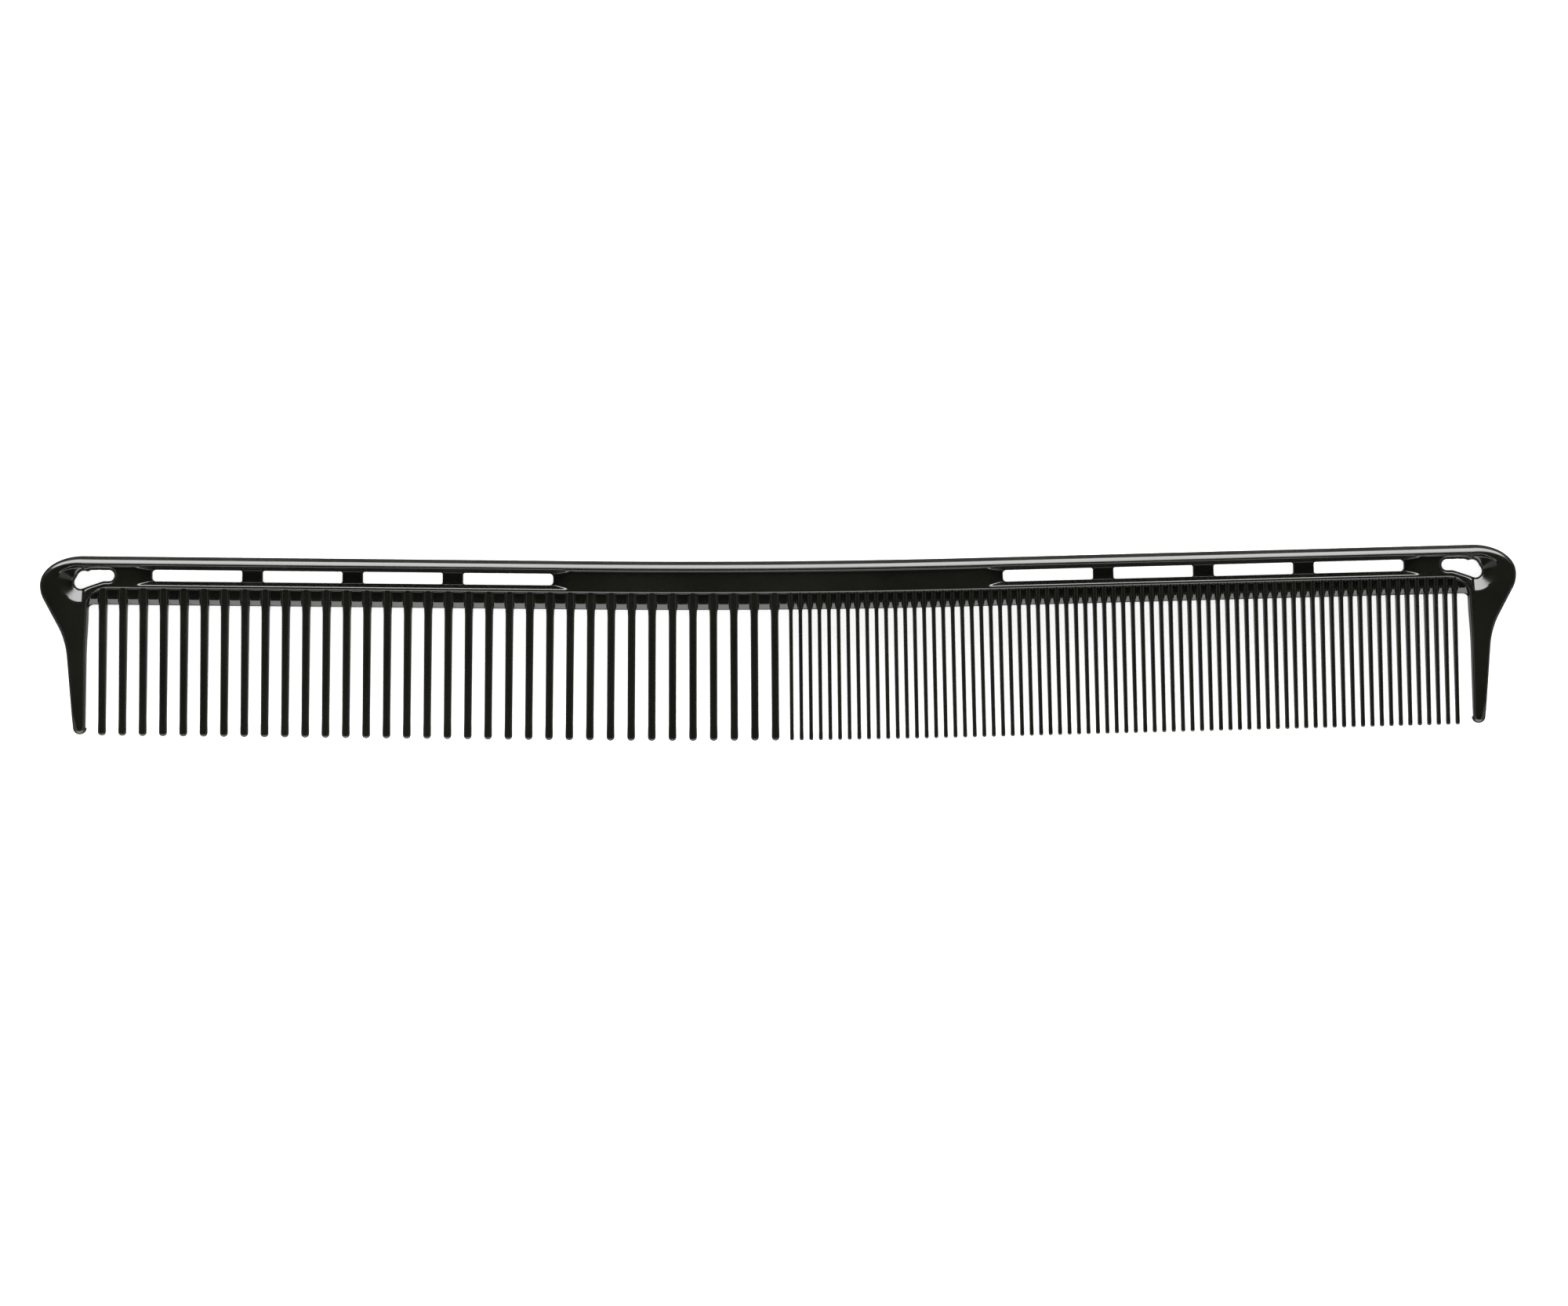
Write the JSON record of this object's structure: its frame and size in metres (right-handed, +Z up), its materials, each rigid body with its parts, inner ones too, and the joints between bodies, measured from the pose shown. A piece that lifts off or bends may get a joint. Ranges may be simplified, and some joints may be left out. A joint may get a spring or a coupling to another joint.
{
  "type": "hair comb",
  "caption": "Long black plastic cutting comb: gently bowed spine with window rows, coarse teeth on one half, fine teeth on the other, and rounded end guards with hanging holes.",
  "frame": {"origin": "centre of the comb's box at its lowest face, with the comb lying flat", "axes": "+X along the comb from the coarse teeth to the fine teeth, +Y from the tooth tips to the spine's back, +Z up through the thickness"},
  "size_m": [0.22, 0.0284, 0.0042],
  "materials": {
    "comb_plastic": "polished black moulded plastic with a faint olive tint"
  },
  "bodies": {
    "root": {"left_end_guard": "comb_plastic", "right_end_guard": "comb_plastic", "left_top_rail": "comb_plastic", "left_bottom_rail": "comb_plastic", "centre_top_rail": "comb_plastic", "centre_bottom_rail": "comb_plastic", "right_top_rail": "comb_plastic", "right_bottom_rail": "comb_plastic", "left_panel": "comb_plastic", "centre_panel": "comb_plastic", "right_panel": "comb_plastic", "left_window_bridge_1": "comb_plastic", "right_window_bridge_1": "comb_plastic", "left_window_bridge_2": "comb_plastic", "right_window_bridge_2": "comb_plastic", "left_window_bridge_3": "comb_plastic", "right_window_bridge_3": "comb_plastic", "coarse_tooth_web": "comb_plastic", "fine_tooth_web": "comb_plastic", "coarse_tooth_01": "comb_plastic", "coarse_tooth_02": "comb_plastic", "coarse_tooth_03": "comb_plastic", "coarse_tooth_04": "comb_plastic", "coarse_tooth_05": "comb_plastic", "coarse_tooth_06": "comb_plastic", "coarse_tooth_07": "comb_plastic", "coarse_tooth_08": "comb_plastic", "coarse_tooth_09": "comb_plastic", "coarse_tooth_10": "comb_plastic", "coarse_tooth_11": "comb_plastic", "coarse_tooth_12": "comb_plastic", "coarse_tooth_13": "comb_plastic", "coarse_tooth_14": "comb_plastic", "coarse_tooth_15": "comb_plastic", "coarse_tooth_16": "comb_plastic", "coarse_tooth_17": "comb_plastic", "coarse_tooth_18": "comb_plastic", "coarse_tooth_19": "comb_plastic", "coarse_tooth_20": "comb_plastic", "coarse_tooth_21": "comb_plastic", "coarse_tooth_22": "comb_plastic", "coarse_tooth_23": "comb_plastic", "coarse_tooth_24": "comb_plastic", "coarse_tooth_25": "comb_plastic", "coarse_tooth_26": "comb_plastic", "coarse_tooth_27": "comb_plastic", "coarse_tooth_28": "comb_plastic", "coarse_tooth_29": "comb_plastic", "coarse_tooth_30": "comb_plastic", "coarse_tooth_31": "comb_plastic", "coarse_tooth_32": "comb_plastic", "coarse_tooth_33": "comb_plastic", "coarse_tooth_34": "comb_plastic", "fine_teeth": "comb_plastic"}
  },
  "joints": []
}
